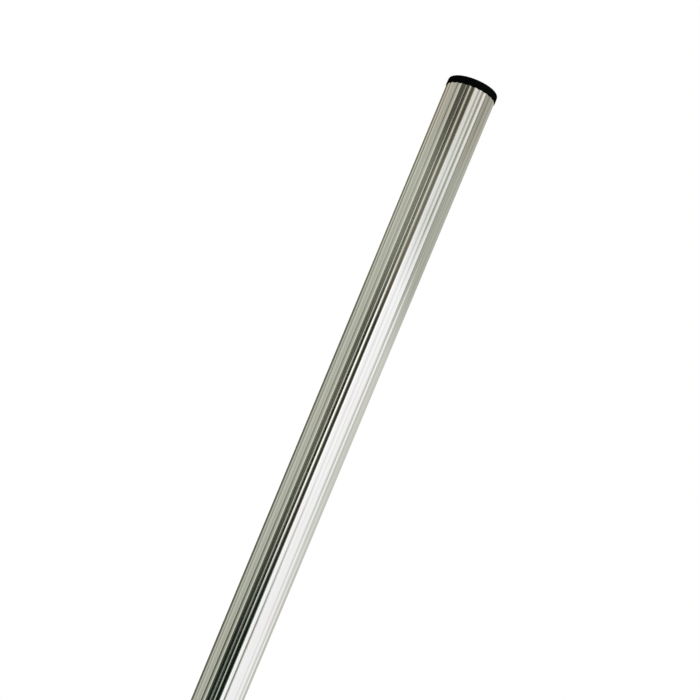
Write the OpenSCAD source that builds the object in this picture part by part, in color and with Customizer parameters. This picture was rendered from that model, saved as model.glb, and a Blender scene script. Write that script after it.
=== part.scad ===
// Fluted tubular flagpole in three plug-together sections, millimetres.
// The pole stands on the origin, +Z runs up its axis, and the foot's flat face is at z = 0.

/* [Sections] */
// Length of each tube section
section_length = 2000; // [600:10:3000]

/* [Fluted tube] */
// Diameter over the ridges of the tube
tube_diameter = 50; // [40:1:80]
// Wall thickness under a ridge
wall = 2.2; // [1.6:0.1:4]
// Number of flutes round the tube
flute_count = 24; // [16:1:40]
// Radius of the hollow of one flute
flute_radius = 25; // [15:1:60]
// Width of the land left on each ridge
ridge_land = 1.9; // [0.5:0.1:2.5]
// Chamfer at both mouths of a section's bore
bore_chamfer = 0.8; // [0.2:0.1:1.2]

/* [Joint sleeves] */
// Length of a sleeve, half of it in each section
sleeve_length = 240; // [100:10:400]
// Wall thickness of a sleeve
sleeve_wall = 3; // [2:0.5:6]
// Radial clearance between a sleeve and the bore
sleeve_clearance = 0.1; // [0.05:0.05:0.3]
// Lead-in chamfer at both ends of a sleeve
sleeve_chamfer = 1.5; // [0.5:0.1:1.8]

/* [End caps] */
// How far a cap's head stands out past the tube all round
cap_overhang = 0.65; // [0.1:0.05:3]
// Height of a cap's head
cap_height = 7.5; // [5:0.5:14]
// Radius of the rounded edge of the head
cap_edge = 2; // [1:0.5:4.5]
// Length of the plug below the head
plug_length = 26; // [20:1:50]
// Wall thickness of the hollow plug
plug_wall = 2; // [1.5:0.1:3]
// Number of grip fins round the plug
fin_count = 4; // [2:1:5]
// Distance from one fin to the next
fin_pitch = 5; // [3:0.5:6]
// Height of a fin from the plug's wall
fin_reach = 3; // [2:0.5:5]
// Thickness of a fin at its root
fin_root = 1.8; // [1:0.1:2.5]
// Thickness of a fin at its rim
fin_rim = 0.6; // [0.4:0.1:1]
// Radial clearance between the fins and the bore
fin_clearance = 0.1; // [0.05:0.05:0.3]
// Thickness of the webs that cross inside the plug
web = 1.6; // [1:0.1:3]

/* [Hidden] */
$fn = 96;

tube_radius = tube_diameter / 2;
bore_radius = tube_radius - wall;

// A flute's arc meets the tube's circle half a flute away from the flute's middle
flute_pitch = 360 / flute_count;
land_angle = ridge_land / tube_radius * 180 / PI;
flute_half_angle = (flute_pitch - land_angle) / 2;
flute_half_width = tube_radius * sin(flute_half_angle);
flute_centre = tube_radius * cos(flute_half_angle)
    + sqrt(pow(flute_radius, 2) - pow(flute_half_width, 2));

// Heights of the butt joints, from the ground up
foot_z = cap_height;
lower_joint_z = foot_z + section_length;
upper_joint_z = lower_joint_z + section_length;
top_z = upper_joint_z + section_length;

cap_radius = tube_radius + cap_overhang;
fin_radius = bore_radius - fin_clearance;
plug_radius = fin_radius - fin_reach;
first_fin = fin_pitch;

// A small overlap that makes two shapes one solid, or lets a cut pass its face
joined = 0.5;

// Outline of the extruded tube: ridges between hollow flutes, the first ridge on +X,
// and a smooth bore
module tube_outline() {
    difference() {
        circle(r = tube_radius);
        for (i = [0 : flute_count - 1])
            rotate((i + 0.5) * flute_pitch)
                translate([flute_centre, 0])
                    circle(r = flute_radius);
        circle(r = bore_radius);
    }
}

// Cone that breaks the edge of a bore whose mouth is at z = 0, opening upwards
module bore_mouth() {
    translate([0, 0, -bore_chamfer])
        cylinder(
            h = bore_chamfer + joined,
            r1 = bore_radius,
            r2 = bore_radius + bore_chamfer + joined
        );
}

// One tube section, standing on z = 0
module tube_section() {
    color("gainsboro")
        difference() {
            linear_extrude(section_length)
                tube_outline();
            translate([0, 0, section_length])
                bore_mouth();
            mirror([0, 0, 1])
                bore_mouth();
        }
}

// Wall of a joint sleeve, with a lead-in chamfer at each end
module sleeve_profile() {
    outer = bore_radius - sleeve_clearance;
    inner = outer - sleeve_wall;
    half = sleeve_length / 2;
    polygon([
        [inner, -half],
        [outer - sleeve_chamfer, -half],
        [outer, -half + sleeve_chamfer],
        [outer, half - sleeve_chamfer],
        [outer - sleeve_chamfer, half],
        [inner, half]
    ]);
}

// One joint sleeve, centred on the butt joint at z = 0
module joint_sleeve() {
    color("silver")
        rotate_extrude()
            sleeve_profile();
}

// Half section of the head: a flat disc with a rounded upper edge
module head_profile() {
    intersection() {
        square([cap_radius, cap_height]);
        union() {
            square([cap_radius, cap_height - cap_edge]);
            square([cap_radius - cap_edge, cap_height]);
            translate([cap_radius - cap_edge, cap_height - cap_edge])
                circle(r = cap_edge);
        }
    }
}

// Half section of one fin, leaning back towards the head
module fin_profile() {
    polygon([
        [plug_radius - joined, -fin_root / 2],
        [plug_radius, -fin_root / 2],
        [fin_radius, fin_root / 2 - fin_rim],
        [fin_radius, fin_root / 2],
        [plug_radius - joined, fin_root / 2]
    ]);
}

// Half section of the hollow plug with its fins, hanging below z = 0
module plug_profile() {
    translate([plug_radius - plug_wall, -plug_length])
        square([plug_wall, plug_length + joined]);
    for (i = [0 : fin_count - 1])
        translate([0, -first_fin - i * fin_pitch])
            fin_profile();
}

// Webs that cross in the hollow of the plug
module plug_webs() {
    span = 2 * (plug_radius - plug_wall / 2);
    for (turn = [0, 90])
        rotate(turn)
            translate([-span / 2, -web / 2, -plug_length + web])
                cube([span, web, plug_length - web + joined]);
}

// Moulded end cap, its head above z = 0 and its plug below
module end_cap() {
    color("black") {
        rotate_extrude()
            head_profile();
        rotate_extrude()
            plug_profile();
        plug_webs();
    }
}

module lower_section() {
    translate([0, 0, foot_z])
        tube_section();
}

module middle_section() {
    translate([0, 0, lower_joint_z])
        tube_section();
}

module upper_section() {
    translate([0, 0, upper_joint_z])
        tube_section();
}

module lower_sleeve() {
    translate([0, 0, lower_joint_z])
        joint_sleeve();
}

module upper_sleeve() {
    translate([0, 0, upper_joint_z])
        joint_sleeve();
}

module top_cap() {
    translate([0, 0, top_z])
        end_cap();
}

module foot_cap() {
    translate([0, 0, foot_z])
        mirror([0, 0, 1])
            end_cap();
}

lower_section();
middle_section();
upper_section();
lower_sleeve();
upper_sleeve();
top_cap();
foot_cap();
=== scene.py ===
# %% [markdown]
# # A fluted flagpole
#
# The object is a straight flagpole of polished aluminium tube with a flat black cap.
# Almost all of its look comes from one thing: a mirror that is folded into shallow flutes.
# So this lesson spends its care on three points: the true curve of a flute, the finish of
# polished metal, and the room that the metal reflects.
#
# The construction model is loaded first. It holds every size, and nothing here moves or
# resizes it.

# %% Load the frame
import math

import bmesh
import bpy
import numpy as np
from mathutils import Matrix, Vector


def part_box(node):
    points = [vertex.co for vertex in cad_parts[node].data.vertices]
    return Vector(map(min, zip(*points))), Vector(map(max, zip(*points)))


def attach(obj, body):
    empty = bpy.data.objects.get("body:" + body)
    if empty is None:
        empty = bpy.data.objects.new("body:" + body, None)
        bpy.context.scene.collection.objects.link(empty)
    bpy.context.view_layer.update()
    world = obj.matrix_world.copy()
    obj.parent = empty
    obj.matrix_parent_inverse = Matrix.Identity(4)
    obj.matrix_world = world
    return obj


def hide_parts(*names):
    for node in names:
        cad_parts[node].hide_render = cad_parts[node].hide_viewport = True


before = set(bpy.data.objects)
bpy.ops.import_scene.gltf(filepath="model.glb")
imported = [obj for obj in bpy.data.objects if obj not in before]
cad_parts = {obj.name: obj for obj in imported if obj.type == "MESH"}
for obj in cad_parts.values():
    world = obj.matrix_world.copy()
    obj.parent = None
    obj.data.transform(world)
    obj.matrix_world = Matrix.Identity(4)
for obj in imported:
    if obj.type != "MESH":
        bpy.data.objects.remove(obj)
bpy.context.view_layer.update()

# %% [markdown]
# ## Sizes
#
# A piece is placed by asking the frame where a node is, so the picture follows the model
# when the pole gets longer or thicker. Only what the frame can't say is written here, such
# as the number of flutes and how steep the side of a flute is.

# %% Named sizes
MM = 0.001
TUBES = ("lower_section", "middle_section", "upper_section")
SLEEVES = ("lower_sleeve", "upper_sleeve")

FLUTES = 24
FLUTE_SLOPE = math.radians(8.4)
LAND_SHARE = 0.3
LAND_EDGE = 0.25
WALL = 2.2 * MM

tube_low, tube_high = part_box("upper_section")
TUBE_RADIUS = (tube_high.y - tube_low.y) / 2
TUBE_TOP = tube_high.z
print("tube radius", round(TUBE_RADIUS / MM, 2), "mm, top of the tube", round(TUBE_TOP, 3), "m")

# %% [markdown]
# ## Camera
#
# The photograph was taken from close by, less than fifteen tube diameters away and a
# little below the top, so the tube narrows visibly towards the bottom of the picture. The
# camera could be moved by hand until it fits. Here it is placed by sizes round the pole:
# how far out, how far below the top of the tube, and how it is turned, so that it stays
# right when the pole changes. The roll gives the pole its slant in the picture.

# %% Camera
LENS = 38.5
CAMERA_OUT = 14.785 * 2 * TUBE_RADIUS
CAMERA_BELOW_TOP = 4.771 * 2 * TUBE_RADIUS
CAMERA_ROUND = math.radians(-5.4)
AIM_ROUND = math.radians(-0.957)
AIM_TILT = math.radians(-2.745)
ROLL = math.radians(22.62)


def round_the_pole(angle, out, height):
    """A point at a distance out from the axis; angle 0 is -Y and it grows towards +X."""
    return Vector((out * math.sin(angle), -out * math.cos(angle), height))


def make_camera():
    """A camera at its place round the pole, aimed level first, then tilted and rolled."""
    data = bpy.data.cameras.new("camera")
    data.lens = LENS
    data.clip_start = 0.01
    camera = bpy.data.objects.new("camera", data)
    bpy.context.scene.collection.objects.link(camera)
    turn = (
        Matrix.Rotation(CAMERA_ROUND - AIM_ROUND, 3, "Z")
        @ Matrix.Rotation(math.radians(90) + AIM_TILT, 3, "X")
        @ Matrix.Rotation(ROLL, 3, "Z")
    )
    place = round_the_pole(CAMERA_ROUND, CAMERA_OUT, TUBE_TOP - CAMERA_BELOW_TOP)
    camera.matrix_world = Matrix.Translation(place) @ turn.to_4x4()
    bpy.context.scene.camera = camera
    return camera


camera = make_camera()
print("camera at", tuple(round(v, 4) for v in camera.location))

# %% [markdown]
# ## The fluted tube
#
# Seen from its end the tube is a ring of shallow hollows between narrow lands, which are
# the parts left at the full radius. A mirror shows its slope far more than its depth, so
# the outline is written by slope. Let `a` be the angle from the middle of a flute, `f` the
# half angle of the hollow and `q` the angle of the rounded edge of a land. The slope grows
# evenly across the hollow and turns back evenly over the edge:
#
#     hollow:  radius = tube_radius - depth + slope * a^2 / (2 f)
#     edge:    radius = tube_radius - slope * (f + q - |a|)^2 / (2 q)
#
# with depth = slope * (f + q) / 2, and the radius stays full on the land. The tube could
# also be made by an array modifier, but a mirror shows every flat in a mesh, and a formula
# can be sampled as finely as needed.

# %% Outline of the tube
STEPS_PER_FLUTE = 48


def tube_outline(angles):
    """Radius of the tube at each angle: a hollow arc in the flute, a flat land between."""
    pitch = 2 * math.pi / FLUTES
    slope = TUBE_RADIUS * math.tan(FLUTE_SLOPE)
    f = pitch / 2 * (1 - LAND_SHARE)
    q = pitch / 2 * LAND_SHARE * LAND_EDGE
    a = np.abs(angles % pitch - pitch / 2)
    hollow = TUBE_RADIUS - slope * (f + q) / 2 + slope * a**2 / (2 * f)
    land = TUBE_RADIUS - slope * np.maximum(f + q - a, 0) ** 2 / (2 * q)
    return np.where(a < f, hollow, land)


ring = np.arange(FLUTES * STEPS_PER_FLUTE) * 2 * math.pi / (FLUTES * STEPS_PER_FLUTE)
outline = tube_outline(ring)
print("flute depth", round((TUBE_RADIUS - outline.min()) / MM, 3), "mm")

# %% [markdown]
# ## From points to a mesh
#
# A grid of points becomes a mesh when each point is joined to its neighbours. The tube and
# the caps are both such grids: one row of points goes once round the axis, and the rows
# follow the section. An array or a screw modifier could do the same, but then the formula
# of the flutes would have no place to go.


# %% Meshes from grids
def grid_mesh(name, points, close_rows=False):
    """A mesh from a grid of points. Columns run round and close; rows may close too."""
    rows, columns = points.shape[:2]
    index = np.arange(rows * columns).reshape(rows, columns)
    if close_rows:
        index = np.vstack([index, index[:1]])
    a = index[:-1]
    b = index[1:]
    faces = np.stack([a, np.roll(a, -1, 1), np.roll(b, -1, 1), b], -1).reshape(-1, 4)
    mesh = bpy.data.meshes.new(name)
    mesh.from_pydata(points.reshape(-1, 3).tolist(), [], faces.tolist())
    mesh.polygons.foreach_set("use_smooth", [True] * len(mesh.polygons))
    mesh.update()
    piece = bpy.data.objects.new(name, mesh)
    bpy.context.scene.collection.objects.link(piece)
    return piece


print("a row of the tube has", len(ring), "points")

# %% [markdown]
# ## The tube sections
#
# A real section is an extrusion: the same outline all along, cut square, with the edges
# of the cut broken so that they don't scratch. The skin is one closed surface that goes up
# the outside, over the end and down the bore. A few rings along the length are enough,
# because the outline doesn't change. Edges sharper than a set angle stay sharp, and the
# rest is shaded smooth.

# %% Build the tube sections
END_CHAMFER = 0.2 * MM
FIRST_RING = 10 * MM
RINGS = 20
SHARP_TUBE_EDGE = math.radians(35)


def tube_piece(name, node):
    """The tube's wall as one closed skin: up the outside, over the end, down the bore."""
    low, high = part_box(node)
    bore = np.full_like(ring, TUBE_RADIUS - WALL)
    outside = [
        (bore, low.z),
        (outline - END_CHAMFER, low.z),
        (outline, low.z + END_CHAMFER),
    ]
    rings = np.linspace(low.z + FIRST_RING, high.z - FIRST_RING, RINGS)
    outside += [(outline, z) for z in rings]
    outside += [
        (outline, high.z - END_CHAMFER),
        (outline - END_CHAMFER, high.z),
        (bore, high.z),
    ]
    points = np.stack(
        [
            np.stack([r * np.cos(ring), r * np.sin(ring), np.full_like(ring, z)], -1)
            for r, z in outside
        ]
    )
    piece = grid_mesh(name, points, close_rows=True)
    piece.data.set_sharp_from_angle(angle=SHARP_TUBE_EDGE)
    return piece


fluted = {}
for node in TUBES:
    piece = tube_piece("fluted_" + node, node)
    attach(piece, "root")
    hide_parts(node)
    fluted[node] = piece
    print(piece.name, len(piece.data.polygons), "faces")

# %% [markdown]
# ## The end caps
#
# A cap is a turned shape: one half section swept round the axis. It has a flat head with
# rounded edges, and below it a hollow plug with fins that grip the bore. Under the rim a
# short key reaches down into each flute, so the cap can't turn. In the photograph the keys
# show as a row of small black scallops. The section is written from the axis outwards and
# back to the axis, which closes the skin. The foot cap is the same moulding turned over.

# %% Sizes of a cap
HEAD_EDGE = 2.0 * MM
HEAD_DRAFT = 0.25 * MM
RIM_EDGE = 0.3 * MM
PLUG_RADIUS = 19.7 * MM
PLUG_WALL = 2.0 * MM
FIN_COUNT = 4
FIN_PITCH = 5.0 * MM
FIN_ROOT = 1.8 * MM
FIN_RIM = 0.6 * MM
FIN_CLEARANCE = 0.1 * MM
WEB = 1.6 * MM
KEY_DEPTH = 0.5 * MM
KEY_SEAT = 0.35 * MM

cap_low, cap_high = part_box("top_cap")
HEAD_RADIUS = (cap_high.x - cap_low.x) / 2
HEAD_HEIGHT = cap_high.z - TUBE_TOP
PLUG_LENGTH = TUBE_TOP - cap_low.z
print("cap head", round(HEAD_RADIUS / MM, 2), "by", round(HEAD_HEIGHT / MM, 2), "mm")


# %% Half section of a cap
def arc(centre, radius, start, end, steps=8):
    """Points on an arc of the section, angles in degrees from the outward direction."""
    turns = np.radians(np.linspace(start, end, steps))
    return [(centre[0] + radius * math.cos(t), centre[1] + radius * math.sin(t)) for t in turns]


def cap_section():
    """Distance from the axis, height above the tube's end, and share of the key's depth."""
    inner = PLUG_RADIUS - PLUG_WALL
    fin_tip = TUBE_RADIUS - WALL - FIN_CLEARANCE
    section = [(0.0, 0.0), (inner, 0.0), (inner, -PLUG_LENGTH), (PLUG_RADIUS, -PLUG_LENGTH)]
    for k in reversed(range(FIN_COUNT)):
        middle = -FIN_PITCH * (k + 1)
        top = middle + FIN_ROOT / 2
        section += [(PLUG_RADIUS, middle - FIN_ROOT / 2), (fin_tip, top - FIN_RIM)]
        section += [(fin_tip, top), (PLUG_RADIUS, top)]
    seat = TUBE_RADIUS - KEY_SEAT
    section += [(PLUG_RADIUS, 0.0), (seat, 0.0)]
    above = arc((HEAD_RADIUS - RIM_EDGE, RIM_EDGE), RIM_EDGE, -90, 0, 5)
    corner = (HEAD_RADIUS - HEAD_DRAFT - HEAD_EDGE, HEAD_HEIGHT - HEAD_EDGE)
    above += arc(corner, HEAD_EDGE, 0, 90, 12)
    above += [(0.0, HEAD_HEIGHT)]
    keys = [(seat, 0.0, 1.0), (TUBE_RADIUS, 0.0, 1.0)]
    return [(r, z, 0.0) for r, z in section] + keys + [(r, z, 0.0) for r, z in above]


print("the half section of a cap has", len(cap_section()), "points")

# %% [markdown]
# ## From the section to a cap
#
# The section goes round in columns, several for each flute, and a column is pulled down at
# the keys by as much as the flute is hollow there. The webs that cross inside the plug
# aren't turned, so they are two thin bars added to the same mesh. Points that meet on the
# axis are merged, and the faces are turned to look outwards.

# %% Build the caps
CAP_COLUMNS = FLUTES * 12
MERGE_DISTANCE = 0.01 * MM
SHARP_CAP_EDGE = math.radians(40)


def cap_piece(name, node, seat, up):
    """A cap on its seat height; up is 1 for the top cap and -1 for the foot cap."""
    turns = np.arange(CAP_COLUMNS) * 2 * math.pi / CAP_COLUMNS
    hollow = TUBE_RADIUS - tube_outline(turns)
    key = KEY_DEPTH * hollow / hollow.max()
    rows = [
        (r * np.cos(turns), r * np.sin(turns), z - share * key)
        for r, z, share in cap_section()
    ]
    piece = grid_mesh(name, np.stack([np.stack(row, -1) for row in rows]))
    shape = bmesh.new()
    shape.from_mesh(piece.data)
    span = 2 * (PLUG_RADIUS - PLUG_WALL / 2)
    height = PLUG_LENGTH - WEB
    for size in ((span, WEB, height), (WEB, span, height)):
        bar = bmesh.ops.create_cube(shape, size=1)["verts"]
        bmesh.ops.scale(shape, vec=size, verts=bar)
        bmesh.ops.translate(shape, vec=(0, 0, -height / 2), verts=bar)
    bmesh.ops.remove_doubles(shape, verts=shape.verts, dist=MERGE_DISTANCE)
    bmesh.ops.scale(shape, vec=(1, 1, up), verts=shape.verts)
    bmesh.ops.translate(shape, vec=(0, 0, seat), verts=shape.verts)
    bmesh.ops.recalc_face_normals(shape, faces=shape.faces)
    shape.to_mesh(piece.data)
    shape.free()
    piece.data.set_sharp_from_angle(angle=SHARP_CAP_EDGE)
    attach(piece, "root")
    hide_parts(node)
    print(piece.name, len(piece.data.polygons), "faces")
    return piece


foot_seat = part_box("lower_section")[0].z
caps = [
    cap_piece("moulded_top_cap", "top_cap", TUBE_TOP, 1),
    cap_piece("moulded_foot_cap", "foot_cap", foot_seat, -1),
]

# %% [markdown]
# ## Node helpers
#
# A material is a small graph of nodes. These helpers make a node and join it to others in
# one line, so that each material below reads like a recipe.


# %% Make and join nodes
def make(tree, kind, inputs=None, **settings):
    """A node with its settings. An input is a plain value or another node's output."""
    node = tree.nodes.new(kind)
    for key, value in settings.items():
        setattr(node, key, value)
    for key, value in (inputs or {}).items():
        if isinstance(value, bpy.types.NodeSocket):
            tree.links.new(value, node.inputs[key])
        else:
            node.inputs[key].default_value = value
    return node


def maths(tree, operation, a, b=0.0):
    """One sum, on plain values or on other nodes' outputs."""
    return make(tree, "ShaderNodeMath", {0: a, 1: b}, operation=operation).outputs[0]


def spread(tree, value, low, high, to_low=0.0, to_high=1.0, smooth=False):
    """Carries a value from one range to another and clamps it there."""
    kind = "SMOOTHSTEP" if smooth else "LINEAR"
    inputs = {0: value, 1: low, 2: high, 3: to_low, 4: to_high}
    return make(tree, "ShaderNodeMapRange", inputs, interpolation_type=kind).outputs[0]


def blend(tree, share, a, b):
    """Colour a where share is 0 and colour b where it is 1."""
    return make(tree, "ShaderNodeMix", {0: share, 6: a, 7: b}, data_type="RGBA").outputs[2]


def noise(tree, place, stretch, scale, detail=2.0, roughness=0.5):
    """Noise on object coordinates, stretched along the axes."""
    scaled = make(tree, "ShaderNodeMapping", {"Vector": place, "Scale": stretch}).outputs[0]
    inputs = {"Vector": scaled, "Scale": scale, "Detail": detail, "Roughness": roughness}
    return make(tree, "ShaderNodeTexNoise", inputs).outputs[0]


def new_material(name):
    """A material, its tree, its main shader, and the place on the object."""
    material = bpy.data.materials.new(name)
    material.use_nodes = True
    tree = material.node_tree
    place = make(tree, "ShaderNodeTexCoord").outputs["Object"]
    return material, tree, tree.nodes["Principled BSDF"], place


print("node helpers:", make.__name__, maths.__name__, spread.__name__, blend.__name__)

# %% [markdown]
# ## Polished aluminium
#
# The tube is drawn through a die and then polished along its length. A die leaves very fine
# lines that run the whole length, polishing leaves patches that are a little clearer or
# duller, and the bare metal takes a faint pink or green tint here and there. All of it is
# weak: the room in the mirror must stay sharp. Near the ground the polish is dulled by dirt
# and rain splash. Noise that is stretched along the pole gives all of it without an image,
# so it holds at any distance.


# %% Polished aluminium
def polished_metal():
    material, tree, shader, place = new_material("polished_aluminium")
    lines = noise(tree, place, (1, 1, 0.002), 1400, detail=3)
    patches = noise(tree, place, (1, 1, 0.35), 45, detail=2)
    clouds = noise(tree, place, (1, 1, 0.5), 14, detail=3)
    scratches = noise(tree, place, (0.03, 0.03, 1), 5200, detail=1)
    height = make(tree, "ShaderNodeSeparateXYZ", {0: place}).outputs[2]
    splash = maths(tree, "MULTIPLY", spread(tree, height, 0.35, 0.0), clouds)

    tint = make(tree, "ShaderNodeValToRGB", {0: patches})
    stops = tint.color_ramp.elements
    stops[0].position, stops[0].color = 0.30, (0.95, 0.925, 0.92, 1)
    stops[1].position, stops[1].color = 0.70, (0.925, 0.94, 0.925, 1)
    middle = stops.new(0.5)
    middle.color = (0.935, 0.935, 0.935, 1)
    fine = spread(tree, lines, 0.3, 0.7, 0.0, 0.10)
    colour = blend(tree, fine, tint.outputs[0], (0.62, 0.62, 0.60, 1))
    colour = blend(tree, spread(tree, splash, 0.1, 0.6, 0.0, 0.5), colour, (0.42, 0.40, 0.36, 1))
    tree.links.new(colour, shader.inputs["Base Color"])

    dull = spread(tree, clouds, 0.45, 0.75, 0.02, 0.045)
    marks = spread(tree, scratches, 0.66, 0.74, 0.0, 0.05)
    dirt = spread(tree, splash, 0.05, 0.6, 0.0, 0.3)
    rough = maths(tree, "ADD", maths(tree, "ADD", dull, marks), dirt)
    tree.links.new(rough, shader.inputs["Roughness"])
    shader.inputs["Metallic"].default_value = 1.0

    waves = noise(tree, place, (1, 1, 0.06), 60, detail=1)
    bump = make(tree, "ShaderNodeBump", {"Height": waves, "Strength": 0.06, "Distance": 0.001})
    drawn = noise(tree, place, (1, 1, 0.001), 11000, detail=0)
    grooves = {"Height": drawn, "Strength": 1.0, "Distance": 0.0000025, "Normal": bump.outputs[0]}
    bump = make(tree, "ShaderNodeBump", grooves)
    tree.links.new(bump.outputs[0], shader.inputs["Normal"])
    return material


metal = polished_metal()
for piece in fluted.values():
    piece.data.materials.append(metal)
print("material:", metal.name)

# %% [markdown]
# ## Black moulded plastic
#
# The caps are moulded in black plastic with a fine satin grain, so dark that the photograph
# shows almost no shading on them. The grain is a shallow bump, rubs change the tone a
# little, and dust settles where a face looks up. The dust is found from the surface's
# normal, which a painted mask could do too, but the normal follows every change of shape.


# %% Black moulded plastic
def black_plastic():
    material, tree, shader, place = new_material("black_moulding")
    grain = noise(tree, place, (1, 1, 1), 2600, detail=2)
    rubs = noise(tree, place, (1, 1, 1), 90, detail=3)
    normal = make(tree, "ShaderNodeNewGeometry").outputs["Normal"]
    up = make(tree, "ShaderNodeSeparateXYZ", {0: normal}).outputs[2]
    upward = spread(tree, up, 0.75, 1.0)
    dust = maths(tree, "MULTIPLY", upward, spread(tree, rubs, 0.35, 0.8))
    black = (0.0011, 0.0015, 0.0012, 1)
    rubbed = (0.0015, 0.0017, 0.0016, 1)
    colour = blend(tree, spread(tree, rubs, 0.4, 0.7), black, rubbed)
    colour = blend(tree, maths(tree, "MULTIPLY", dust, 0.35), colour, (0.10, 0.095, 0.085, 1))
    tree.links.new(colour, shader.inputs["Base Color"])
    rough = spread(tree, rubs, 0.3, 0.7, 0.5, 0.65)
    tree.links.new(rough, shader.inputs["Roughness"])
    shader.inputs["Specular IOR Level"].default_value = 0.002
    bump = make(tree, "ShaderNodeBump", {"Height": grain, "Strength": 0.15, "Distance": 0.0002})
    tree.links.new(bump.outputs[0], shader.inputs["Normal"])
    return material


plastic = black_plastic()
for piece in caps:
    piece.data.materials.append(plastic)
print("material:", plastic.name)

# %% [markdown]
# ## Mill finish
#
# The joint sleeves are left as they come from the press: grey, satin, with press lines
# along their length and a few rubs from being pushed into the tube. They are hidden in the
# standing pole and show only when it is taken apart, so the construction model's own
# shapes are kept and only get this finish.


# %% Mill finish
def mill_finish():
    material, tree, shader, place = new_material("mill_aluminium")
    lines = noise(tree, place, (1, 1, 0.01), 900, detail=3)
    rubs = noise(tree, place, (1, 1, 0.15), 70, detail=3)
    pressed = spread(tree, lines, 0.3, 0.7)
    colour = blend(tree, pressed, (0.70, 0.71, 0.72, 1), (0.80, 0.81, 0.82, 1))
    rubbed = spread(tree, rubs, 0.6, 0.75, 0.0, 0.5)
    colour = blend(tree, rubbed, colour, (0.55, 0.55, 0.56, 1))
    tree.links.new(colour, shader.inputs["Base Color"])
    tree.links.new(spread(tree, rubs, 0.3, 0.7, 0.42, 0.30), shader.inputs["Roughness"])
    shader.inputs["Metallic"].default_value = 1.0
    bump = make(tree, "ShaderNodeBump", {"Height": lines, "Strength": 0.2, "Distance": 0.0001})
    tree.links.new(bump.outputs[0], shader.inputs["Normal"])
    return material


mill = mill_finish()
for node in SLEEVES:
    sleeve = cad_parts[node].data
    sleeve.materials.clear()
    sleeve.materials.append(mill)
print("material:", mill.name)
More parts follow.
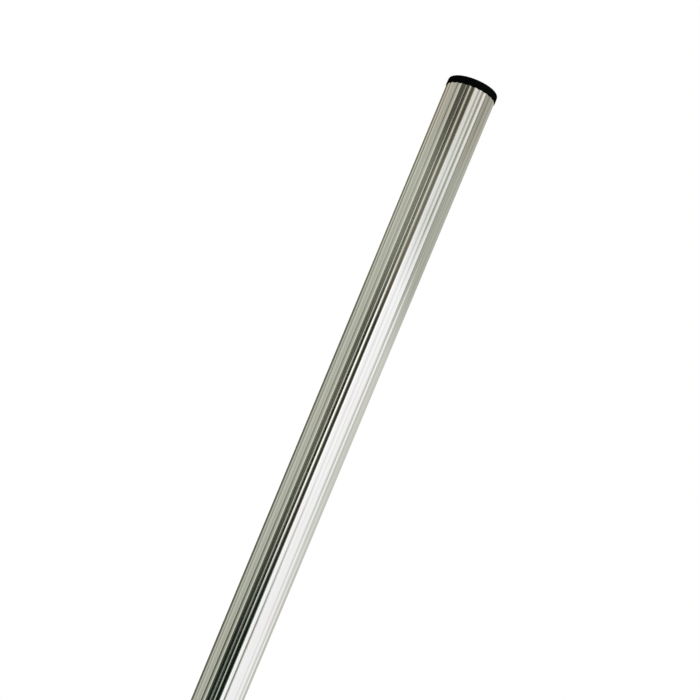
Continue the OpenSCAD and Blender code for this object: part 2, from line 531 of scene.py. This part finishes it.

# %% [markdown]
# ## The room in the mirror
#
# A polished tube has hardly any colour of its own: what shows is the room. Here a large
# white screen stands to the right, dark boards stand near the camera and to its left, and
# the rest is a grey-green wall. Each row below is one direction round from the camera, in
# degrees, and how bright the room is there overhead, high up, level with the camera and low
# down. Flutes show each part of the room mirrored and drawn out, so a narrow board becomes a
# long streak. The rows weren't chosen freely: a fitting program worked out a first estimate
# backwards, from the streaks in the photograph and the slopes of the flutes, and its numbers
# were rounded and thinned out. Many were then changed where the render differed, and they
# still follow that estimate. The same room could be built from lamps and cards placed by
# hand, which would match the streaks less closely.

# %% Brightness of the room
ROOM = [
    # The wall to the far left, and a pale stripe on it
    (-175, 0.18, 0.18, 0.10, 0.06),
    (-139, 0.17, 0.17, 0.13, 0.12),
    (-132, 0.14, 0.14, 0.10, 0.08),
    (-129, 0.22, 0.22, 0.34, 0.48),
    (-126, 0.40, 0.42, 0.66, 0.68),
    (-123, 0.48, 0.54, 0.39, 0.35),
    (-120, 0.60, 0.68, 0.31, 0.13),
    (-115, 0.48, 0.54, 0.38, 0.34),
    # The wall to the left
    (-105, 0.56, 0.64, 0.50, 0.48),
    (-101, 0.46, 0.46, 0.42, 0.40),
    (-94, 0.38, 0.43, 0.50, 0.46),
    (-91, 0.46, 0.54, 0.60, 0.56),
    (-88, 0.50, 0.58, 0.62, 0.64),
    (-84, 0.37, 0.52, 0.50, 0.46),
    (-75, 0.37, 0.54, 0.52, 0.46),
    (-71, 0.52, 0.76, 0.80, 0.74),
    (-68, 0.57, 0.62, 0.48, 0.48),
    (-66, 0.46, 0.49, 0.48, 0.40),
    (-63, 0.40, 0.43, 0.36, 0.20),
    # Dark boards, with a lit gap between two of them
    (-61, 0.20, 0.38, 0.24, 0.06),
    (-59, 0.06, 0.24, 0.27, 0.06),
    (-53, 0.09, 0.24, 0.25, 0.10),
    (-45, 0.07, 0.20, 0.09, 0.02),
    (-42.5, 0.00, 0.06, 0.00, 0.00),
    (-39.3, 0.00, 0.03, 0.00, 0.00),
    (-38.4, 0.32, 0.68, 0.60, 0.30),
    (-36.4, 0.37, 0.61, 0.55, 0.30),
    (-35.5, 0.06, 0.12, 0.04, 0.00),
    (-31.5, 0.10, 0.26, 0.17, 0.01),
    # The dark board between the camera and the screen, and a lit strip in it
    (-28.5, 0.08, 0.13, 0.00, 0.00),
    (-24, 0.08, 0.13, 0.00, 0.00),
    (-18, 0.08, 0.16, 0.01, 0.00),
    (-16, 0.28, 0.42, 0.40, 0.04),
    (-14, 0.28, 0.42, 0.40, 0.04),
    (-11.5, 0.12, 0.18, 0.14, 0.01),
    (-9, 0.09, 0.17, 0.05, 0.00),
    (-6.5, 0.06, 0.13, 0.02, 0.00),
    (-4, 0.09, 0.18, 0.06, 0.00),
    (-2.4, 0.15, 0.27, 0.26, 0.00),
    # The bright side of the screen, and a dark gap after it
    (-1.0, 0.50, 0.60, 1.05, 0.06),
    (0.4, 0.58, 0.66, 1.25, 0.55),
    (3.6, 0.68, 0.85, 1.25, 0.54),
    (5, 0.24, 0.34, 0.62, 0.00),
    (8, 0.19, 0.33, 0.62, 0.00),
    # The screen, with a few folds
    (10, 0.60, 0.78, 1.20, 0.64),
    (14, 0.78, 0.93, 1.10, 1.30),
    (16, 1.00, 1.08, 1.10, 1.35),
    (20.6, 0.95, 1.08, 1.10, 1.35),
    (21.8, 0.41, 0.56, 0.84, 0.62),
    (26.0, 0.40, 0.54, 0.82, 0.03),
    (27.2, 0.70, 0.77, 0.97, 0.80),
    (30.5, 0.80, 0.83, 1.04, 1.06),
    (32, 0.65, 0.65, 0.80, 0.85),
    (33.5, 0.80, 0.85, 0.95, 0.98),
    (40, 0.80, 0.88, 1.00, 1.00),
    (43.5, 0.50, 0.54, 0.98, 0.92),
    (47, 0.32, 0.60, 1.12, 0.98),
    (50, 0.22, 0.40, 1.12, 1.00),
    (52, 0.84, 0.83, 0.96, 0.92),
    (55.5, 0.88, 0.82, 0.94, 0.90),
    (57.5, 0.47, 0.58, 0.96, 0.94),
    (60.5, 0.38, 0.46, 0.92, 0.94),
    # The wall to the right of the screen
    (62, 0.11, 0.13, 0.78, 0.93),
    (66, 0.26, 0.35, 0.80, 0.93),
    (70, 0.26, 0.36, 0.80, 0.92),
    (76, 0.27, 0.34, 0.66, 0.92),
    (79, 0.18, 0.29, 0.51, 0.90),
    (82, 0.19, 0.33, 0.55, 0.91),
    # A thin bright post, and the wall to the far right
    (84, 0.30, 0.48, 0.86, 0.95),
    (86, 0.36, 0.48, 1.05, 0.93),
    (88, 0.30, 0.36, 0.92, 0.90),
    (90.5, 0.32, 0.34, 0.62, 0.84),
    (92, 0.48, 0.50, 0.50, 0.74),
    (94.5, 0.48, 0.50, 0.48, 0.70),
    (97, 0.39, 0.43, 0.52, 0.73),
    (105, 0.39, 0.44, 0.54, 0.74),
    (110, 0.38, 0.39, 0.50, 0.72),
    (112, 0.34, 0.40, 0.62, 0.92),
    (118, 0.34, 0.40, 0.66, 0.88),
    (121, 0.44, 0.49, 0.66, 0.57),
    (131, 0.43, 0.48, 0.60, 0.46),
    (150, 0.44, 0.45, 0.58, 0.57),
    (160, 0.46, 0.38, 0.66, 0.62),
    (175, 0.33, 0.30, 0.36, 0.32),
]
AZIMUTH, OVERHEAD, HIGH, LEVEL, LOW = range(5)
print("directions in the room:", len(ROOM))

# %% [markdown]
# ## The tones of the room
#
# The rows hold brightness only, and the colour follows from it by a few rules, as it does
# in a real room: the screen is white, the wall is a warm green, and shade is browner or
# more olive than what is lit. Rules keep the rows short, and one change moves all of them.

# %% Colour of one spot
SHADE_END = -2
TO_WHITE = (0.45, 0.85)
TO_OLIVE = (0.32, 0.20)
FLOOR_GLOW = (0.4, 1.0, 0.75)

# Parts of the room with a tone of their own: where from, where to, and the factors for red,
# green and blue
TONES = [
    (-180, -131, (1.12, 1, 0.95)),  # the far end of the wall is brown
    (-13, SHADE_END, (1.08, 1, 0.99)),  # so is the shade beside the screen
    (SHADE_END, 1, (1, 1, 0.92)),  # the side of the screen is cream
]
OVERHEAD_TONE = (-180, -100, (1.06, 1, 1))


def part_way(value, start, end):
    """How far a value is on its way from start to end, held between 0 and 1."""
    return min(max((value - start) / (end - start), 0), 1)


def tinted(bright, azimuth, column):
    """The colour of one spot: white stays white, and grey takes the tone of the wall.

    The wall is a warm green, and nearly grey overhead. Dark parts turn olive, and the floor
    gives the black a faint green glow.
    """
    overhead = column == OVERHEAD
    white = part_way(bright, *TO_WHITE) if azimuth > SHADE_END else 0
    olive = part_way(bright, *TO_OLIVE)
    colour = [
        1 + (0.01 if overhead else -0.04) * (1 - white),
        1 - 0.01 * (1 - white),
        0.83 + (0.11 if overhead else 0.17) * white - 0.12 * olive,
    ]
    for start, end, factors in TONES + [OVERHEAD_TONE] * overhead:
        if start < azimuth < end:
            colour = [part * factor for part, factor in zip(colour, factors)]
    glow = 0.012 * max(1 - bright / 0.3, 0) if column == LOW else 0
    return tuple(bright * part + glow * green for part, green in zip(colour, FLOOR_GLOW))


white_spot = tuple(round(v, 2) for v in tinted(1.0, 30, LEVEL))
wall_spot = tuple(round(v, 2) for v in tinted(0.5, -80, LEVEL))
print("colour of the screen", white_spot, "and of the wall", wall_spot)

# %% [markdown]
# ## From rows to pictures
#
# Each column of the rows becomes a ring of colour: the direction round the camera goes into
# a colour ramp, with one stop for each row. A ramp holds 32 stops at most, so the way round
# is cut into four parts. A painted panorama would do the same, but it would be a picture
# file, and the ramps stay sharp at any size.


# %% Ramps round the room
CUTS = (-63, -1.0, 60.5)


def ramp_of(tree, azimuth, rows, column):
    """A colour ramp over one part of the room, from its first row to its last."""
    first, last = rows[0][AZIMUTH], rows[-1][AZIMUTH]
    share = spread(tree, azimuth, math.radians(first), math.radians(last))
    ramp = make(tree, "ShaderNodeValToRGB", {0: share})
    stops = ramp.color_ramp.elements
    while len(stops) > 1:
        stops.remove(stops[-1])
    stops[0].position = 0
    for row in rows[1:]:
        stops.new((row[AZIMUTH] - first) / (last - first))
    for stop, row in zip(stops, rows):
        stop.color = (*tinted(row[column], row[AZIMUTH], column), 1)
    return ramp.outputs[0]


def room_ramp(tree, azimuth, column):
    """The whole way round in one column, from four ramps."""
    ends = (ROOM[0][AZIMUTH], *CUTS, ROOM[-1][AZIMUTH])
    colour = None
    for first, last in zip(ends, ends[1:]):
        rows = [row for row in ROOM if first <= row[AZIMUTH] <= last]
        part = ramp_of(tree, azimuth, rows, column)
        if colour is not None:
            past = maths(tree, "GREATER_THAN", azimuth, math.radians(first))
            part = blend(tree, past, colour, part)
        colour = part
    return colour


print("each ring has", len(CUTS) + 1, "ramps")

# %% [markdown]
# ## One ring above the other
#
# The four rings are laid one above the other by the height of the line of sight, and each
# fades into the next. Between the level ring and the high one the edge isn't straight: the
# screen and the post reach higher than the wall beside them.

# %% Fading by height
OVERHEAD_FADE = (11.8, 16.2)
FLOOR_FADE = (-25.0, -12.0)
EDGE_FADE = (-3.0, 3.0)
EDGE_SHADE = 3.0
EDGE_SCREEN = 5.8
EDGE_RIGHT = 0.6
EDGE_POST = 3.0
EDGE_BLUR = 6.0
SCREEN = (10.0, 62.0)
POST = 85.0
POST_HALF = 2.5
POST_BLUR = 2.5


def sine(angle):
    """The height of a direction, as the world's coordinates give it."""
    return math.sin(math.radians(angle))


def by_height(tree, z, limits, below, above):
    """Goes from one picture of the room to the next as the line of sight rises."""
    low, high = (sine(angle) for angle in limits)
    return blend(tree, spread(tree, z, low, high), below, above)


def edge_height(tree, azimuth):
    """Where the level ring ends and the high one starts, as a sine of the height.

    The edge is highest over the white screen and lowest to the right of it, but for a thin
    bright post that stands there.
    """
    left_end, right_end = (math.radians(angle) for angle in SCREEN)
    blur = math.radians(EDGE_BLUR)
    rise = spread(tree, azimuth, left_end - blur, left_end, sine(EDGE_SHADE), sine(EDGE_SCREEN))
    drop = sine(EDGE_SCREEN) - sine(EDGE_RIGHT)
    fall = spread(tree, azimuth, right_end, right_end + blur, 0, drop)
    away = maths(tree, "ABSOLUTE", maths(tree, "SUBTRACT", azimuth, math.radians(POST)))
    half, end = math.radians(POST_HALF), math.radians(POST_HALF + POST_BLUR)
    bump = spread(tree, away, half, end, sine(EDGE_POST) - sine(EDGE_RIGHT), 0)
    return maths(tree, "ADD", maths(tree, "SUBTRACT", rise, fall), bump)


def room_colour(tree, azimuth, z):
    """The four rings, one above the other."""
    columns = (OVERHEAD, HIGH, LEVEL, LOW)
    top, high, level, low = (room_ramp(tree, azimuth, column) for column in columns)
    room = by_height(tree, z, FLOOR_FADE, low, level)
    over_edge = maths(tree, "SUBTRACT", z, edge_height(tree, azimuth))
    room = by_height(tree, over_edge, EDGE_FADE, room, high)
    return by_height(tree, z, OVERHEAD_FADE, room, top)


print("the screen's upper edge is", EDGE_SCREEN, "degrees above the camera")

# %% [markdown]
# ## Three worlds in one
#
# The world has three tasks. The camera sees plain white behind the pole. A mirror sees the
# room, because a polished tube under a plain sky would look like grey paint. All other
# surfaces get an even pale light, so that each colour looks about as it is written. The
# Light Path node tells which kind of ray is asking. Separate lamps and backdrops could do
# it too, but they would show in the mirror.


# %% World
PLAIN_LEVEL = 0.75
WHITE = (1, 1, 1, 1)


def background(tree, colour, strength=1.0):
    """Light of one colour from all round."""
    inputs = {"Color": colour, "Strength": strength}
    return make(tree, "ShaderNodeBackground", inputs).outputs[0]


def choose(tree, share, first, second):
    """The first shader where share is 0 and the second where it is 1."""
    return make(tree, "ShaderNodeMixShader", {0: share, 1: first, 2: second}).outputs[0]


def make_world():
    """White behind the object, a plain level for its own colours, the room in its mirror."""
    world = bpy.data.worlds.new("studio")
    world.use_nodes = True
    tree = world.node_tree
    tree.nodes.clear()
    looking = make(tree, "ShaderNodeTexCoord").outputs["Generated"]
    turn = {"Vector": looking, "Angle": -CAMERA_ROUND}
    turned = make(tree, "ShaderNodeVectorRotate", turn, rotation_type="Z_AXIS").outputs[0]
    x, y, z = make(tree, "ShaderNodeSeparateXYZ", {0: turned}).outputs
    azimuth = maths(tree, "ARCTAN2", x, maths(tree, "MULTIPLY", y, -1))
    mirror = background(tree, room_colour(tree, azimuth, z))

    path = make(tree, "ShaderNodeLightPath").outputs
    lit = choose(tree, path["Is Glossy Ray"], background(tree, WHITE, PLAIN_LEVEL), mirror)
    seen = maths(tree, "ADD", path["Is Camera Ray"], path["Is Transmission Ray"])
    both = choose(tree, seen, lit, background(tree, WHITE))
    make(tree, "ShaderNodeOutputWorld", {0: both})
    bpy.context.scene.world = world
    return world


studio = make_world()
print("world:", studio.name, len(studio.node_tree.nodes), "nodes")

# %% [markdown]
# ## Floor
#
# The pole stands on a plain pale floor. Its edge turns clear towards the rim, so it fades
# into the white background without a line. A backdrop that bends up behind would do the
# same, but only from one side.

# %% Floor
FLOOR_RADIUS = 6.0
FADE_FROM = 0.35
FADE_TO = 0.98


def pale_floor():
    """A round floor whose edge fades to white."""
    bpy.ops.mesh.primitive_circle_add(vertices=128, radius=FLOOR_RADIUS, fill_type="NGON")
    floor = bpy.context.object
    floor.name = "floor"
    material, tree, shader, place = new_material("pale_floor")
    shader.inputs["Base Color"].default_value = (0.80, 0.80, 0.79, 1)
    shader.inputs["Roughness"].default_value = 0.6
    out = make(tree, "ShaderNodeVectorMath", {0: place}, operation="LENGTH").outputs["Value"]
    clear = make(tree, "ShaderNodeBsdfTransparent")
    fade = spread(tree, out, FLOOR_RADIUS * FADE_FROM, FLOOR_RADIUS * FADE_TO, smooth=True)
    edge = choose(tree, fade, shader.outputs[0], clear.outputs[0])
    tree.links.new(edge, tree.nodes["Material Output"].inputs["Surface"])
    floor.data.materials.append(material)
    return floor


floor = pale_floor()
print("floor:", floor.name, FLOOR_RADIUS, "m to its rim")

# %% [markdown]
# ## Light
#
# One large soft lamp stands where the white screen would be, to the upper right of the
# camera, and gives the pole its soft shadow on the floor. A small lamp would draw a hard
# line instead. It is hidden from the mirror, because the rows already hold the screen.


# %% Light
def soft_lamp(name, angle, out, height, size, power):
    """A square lamp that looks at the middle of the pole."""
    data = bpy.data.lights.new(name, "AREA")
    data.shape = "SQUARE"
    data.size = size
    data.energy = power
    lamp = bpy.data.objects.new(name, data)
    bpy.context.scene.collection.objects.link(lamp)
    lamp.location = round_the_pole(angle, out, height)
    aim = Vector((0, 0, TUBE_TOP / 2)) - lamp.location
    lamp.rotation_euler = aim.to_track_quat("-Z", "Y").to_euler()
    lamp.visible_glossy = False
    return lamp


lamp = soft_lamp(
    "screen_lamp",
    angle=math.radians(40),
    out=5.0,
    height=8.0,
    size=3.0,
    power=500,
)
print("lamp at", tuple(round(v, 2) for v in lamp.location))

# %% [markdown]
# ## Colour and closing
#
# The standard view shows each colour as it is written, where a filmic view would grey the
# white background.

# %% Close the scene
bpy.context.scene.view_settings.view_transform = "Standard"
